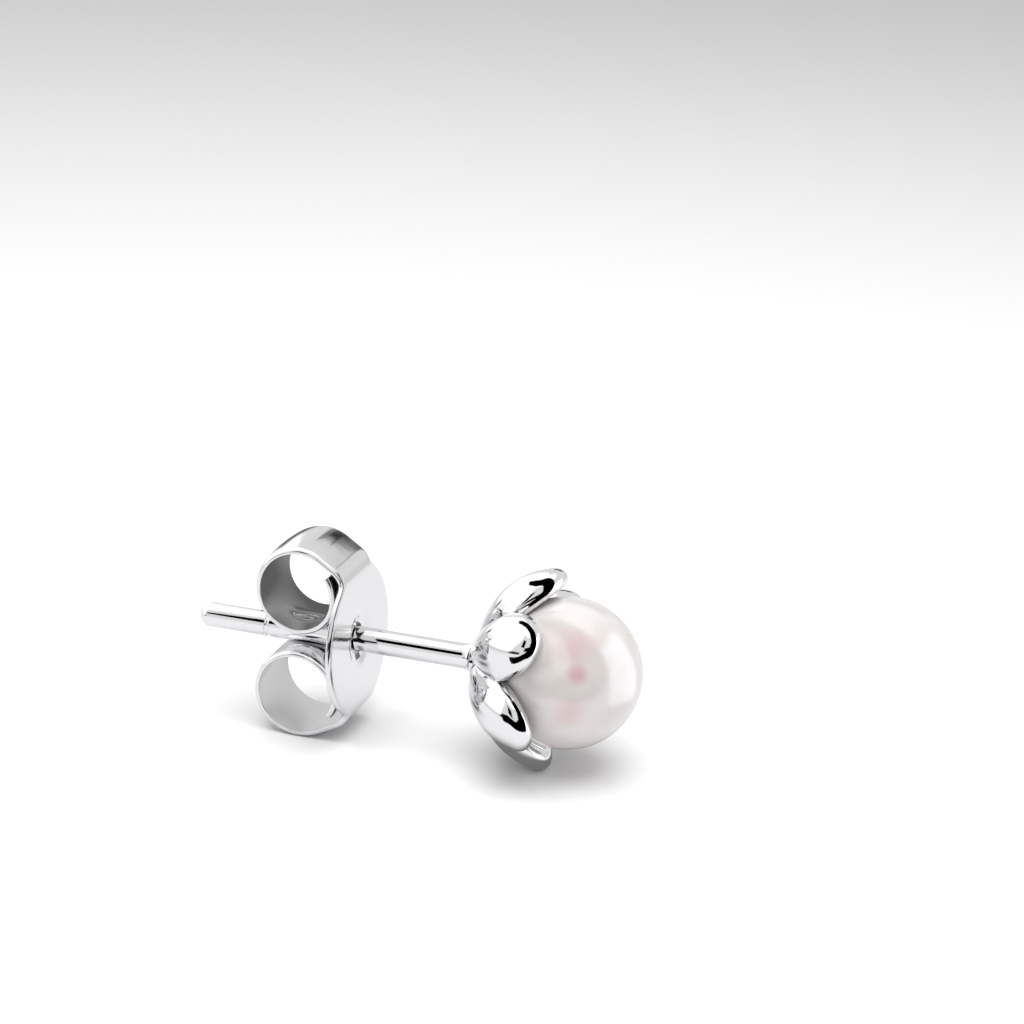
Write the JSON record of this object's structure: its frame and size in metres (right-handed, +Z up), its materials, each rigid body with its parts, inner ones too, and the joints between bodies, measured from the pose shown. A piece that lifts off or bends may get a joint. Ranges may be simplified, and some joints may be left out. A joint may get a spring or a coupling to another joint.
{
  "type": "pearl stud earring",
  "caption": "Stud earring: a round white pearl in a polished flower cup on a straight ear post, with a butterfly clutch that slides along the post.",
  "frame": {"origin": "middle of the bottom of the bounding box of the earring as it lies on a table", "axes": "+X along the post from its tip to the pearl, +Y across the clutch, +Z up; as it lies, the post points 0.18 degrees above +X"},
  "size_m": [0.016, 0.0066, 0.007],
  "materials": {
    "nacre": "white nacre with a soft lustre and a faint pink overtone",
    "silver": "mirror-polished, rhodium-plated silver"
  },
  "bodies": {
    "stud": {"flower_setting": "silver", "pearl": "nacre"},
    "clutch": {"butterfly_clutch": "silver"}
  },
  "joints": [
    {"name": "clutch_slide", "type": "slide", "parent": "stud", "child": "clutch", "axis": [1, 0, 0.0031], "range_m": [-0.0056, 0.0041]}
  ]
}
